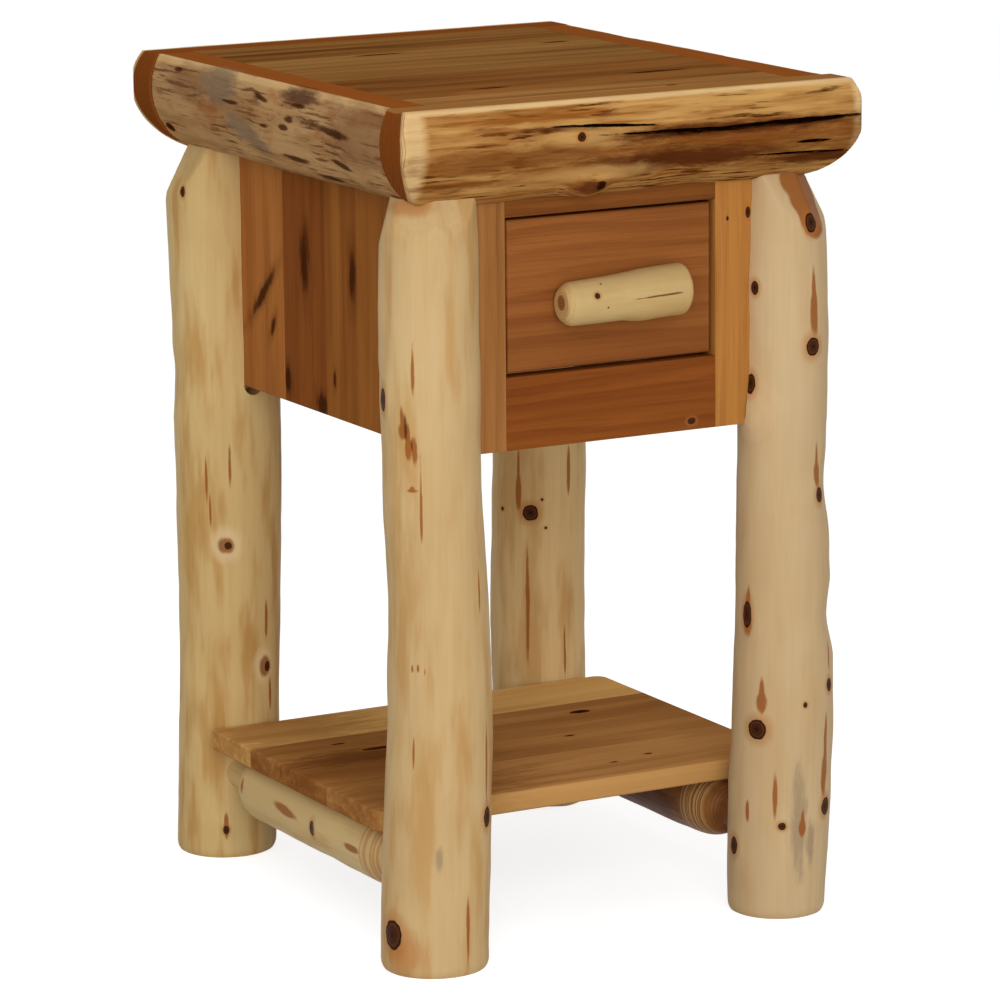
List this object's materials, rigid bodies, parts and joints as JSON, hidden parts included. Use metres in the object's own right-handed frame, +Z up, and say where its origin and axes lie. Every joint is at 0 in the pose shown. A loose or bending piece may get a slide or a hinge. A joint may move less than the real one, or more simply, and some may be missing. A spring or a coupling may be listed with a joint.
{
  "type": "nightstand",
  "caption": "Rustic log nightstand: peeled log legs, plank case with a sliding inset drawer and branch pull, half-log edged plank top, low plank shelf on log stretchers.",
  "frame": {"origin": "on the floor, under the middle of the part's outline", "axes": "+Z up, -Y towards the drawer front, +X to the right seen from behind the drawer's user, that is to the right when facing the drawer"},
  "size_m": [0.46, 0.552, 0.762],
  "materials": {
    "peeled_log": "peeled sapwood under clear satin lacquer",
    "branch_pull": "peeled branch under clear satin lacquer",
    "edge_log": "half-sawn peeled log under clear satin lacquer",
    "top_board": "planed heartwood under clear satin lacquer",
    "shelf_board": "planed heartwood under clear satin lacquer",
    "case_board": "planed heartwood under clear satin lacquer",
    "drawer_front": "planed heartwood under clear satin lacquer",
    "inner_board": "planed bare wood",
    "screw_steel": "zinc"
  },
  "bodies": {
    "carcase": {"leg_front_left": "peeled_log", "leg_front_right": "peeled_log", "leg_rear_left": "peeled_log", "leg_rear_right": "peeled_log", "stretcher_left": "peeled_log", "stretcher_right": "peeled_log", "top_edge_log_front": "edge_log", "top_edge_log_back": "edge_log", "top_edge_log_left": "edge_log", "top_edge_log_right": "edge_log", "top_board_1": "top_board", "top_board_2": "top_board", "top_board_3": "top_board", "top_board_4": "top_board", "top_board_5": "top_board", "shelf_board_1": "shelf_board", "shelf_board_2": "shelf_board", "shelf_board_3": "shelf_board", "shelf_board_4": "shelf_board", "left_side_board_1": "case_board", "left_side_board_2": "case_board", "left_side_board_3": "case_board", "left_side_board_4": "case_board", "right_side_board_1": "case_board", "right_side_board_2": "case_board", "right_side_board_3": "case_board", "right_side_board_4": "case_board", "back_board_1": "case_board", "back_board_2": "case_board", "back_board_3": "case_board", "face_frame_left_stile": "case_board", "face_frame_right_stile": "case_board", "face_frame_top_rail": "case_board", "face_frame_bottom_rail": "case_board", "drawer_runner_left": "inner_board", "drawer_runner_right": "inner_board", "drawer_guide_left": "inner_board", "drawer_guide_right": "inner_board", "drawer_kicker_left": "inner_board", "drawer_kicker_right": "inner_board", "drawer_stop_left": "inner_board", "drawer_stop_right": "inner_board", "top_cleat_left": "inner_board", "top_cleat_right": "inner_board", "shelf_screws": "screw_steel", "top_screws": "screw_steel"},
    "drawer": {"drawer_front": "drawer_front", "drawer_side_left": "inner_board", "drawer_side_right": "inner_board", "drawer_back": "inner_board", "drawer_bottom": "inner_board", "drawer_pull": "branch_pull", "pull_screws": "screw_steel", "drawer_bottom_screws": "screw_steel"}
  },
  "joints": [
    {"name": "drawer_slide", "type": "slide", "parent": "carcase", "child": "drawer", "axis": [0, -1, 0], "range_m": [0, 0.28]}
  ]
}
